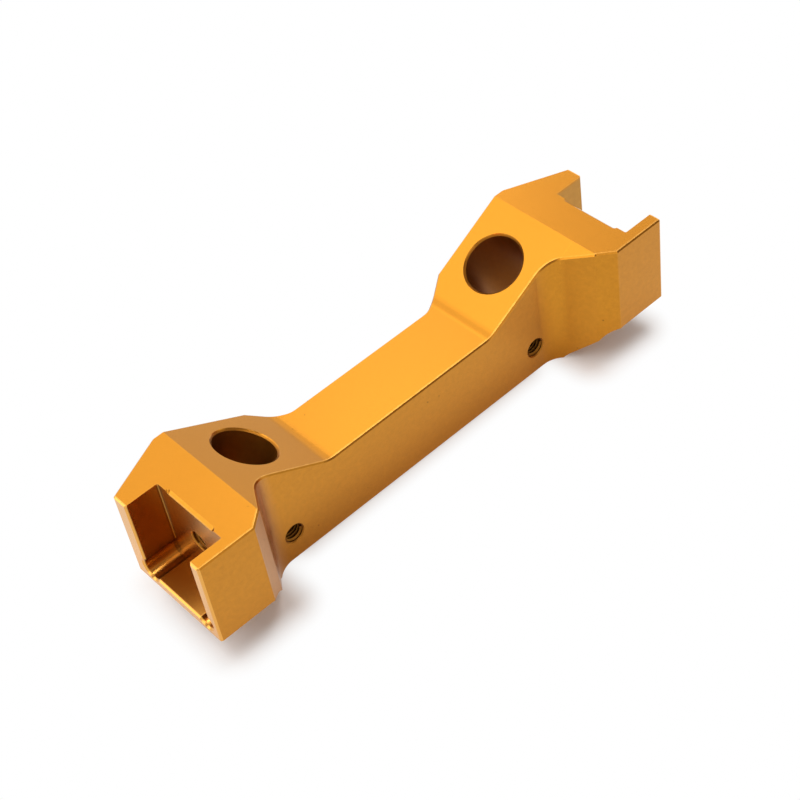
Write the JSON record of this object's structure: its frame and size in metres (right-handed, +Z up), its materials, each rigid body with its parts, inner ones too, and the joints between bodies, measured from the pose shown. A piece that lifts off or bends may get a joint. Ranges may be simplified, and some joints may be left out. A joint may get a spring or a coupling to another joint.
{
  "type": "machined cross-member",
  "caption": "One-piece machined cross-member: straight bar with raised, widened ends, each with an open pocket, an angled bore through its sloping shoulder and tapped holes.",
  "frame": {"origin": "middle of the flat underside of the bar", "axes": "+X along the bar, +Z up from the underside towards the side that the two angled bores open on, -Y towards the face with the front tapped holes"},
  "size_m": [0.084, 0.0223, 0.0213],
  "materials": {
    "cross_member": "satin gold-orange anodised"
  },
  "bodies": {
    "root": {"cross_member": "cross_member"}
  },
  "joints": []
}
